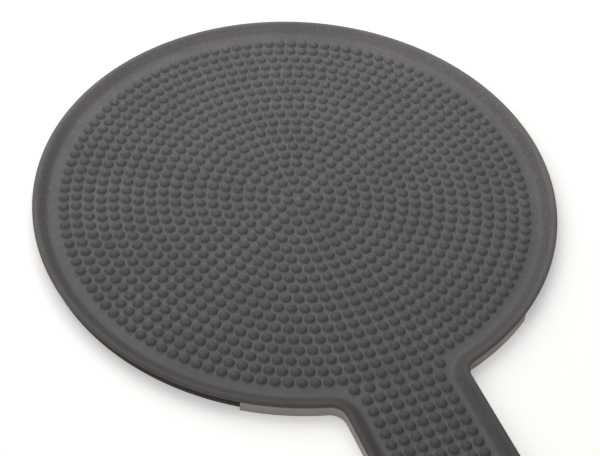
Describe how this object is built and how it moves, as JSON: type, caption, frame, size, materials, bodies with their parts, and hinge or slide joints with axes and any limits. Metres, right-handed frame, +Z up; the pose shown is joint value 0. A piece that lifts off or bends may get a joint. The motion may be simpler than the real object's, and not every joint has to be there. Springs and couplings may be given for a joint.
{
  "type": "practice pad",
  "caption": "Round rubber practice pad with a flat handle: rings of small nubs inside a raised rim, foam under the disc and a firm carrier under the handle.",
  "frame": {"origin": "centre of the disc on the underside, in the plane the pad rests on", "axes": "+Z up through the playing face, handle along -Y, +X across the handle"},
  "size_m": [0.2, 0.3799, 0.0062],
  "materials": {
    "face_rubber": "matte dark grey moulded rubber",
    "black_foam": "matte black closed-cell foam",
    "grey_carrier": "matte warm grey, smooth moulded",
    "bond_film": "dark bonding film"
  },
  "bodies": {
    "root": {"playing_surface": "face_rubber", "disc_foam": "black_foam", "foam_film": "bond_film", "handle_carrier": "grey_carrier", "carrier_film": "bond_film"}
  },
  "joints": []
}
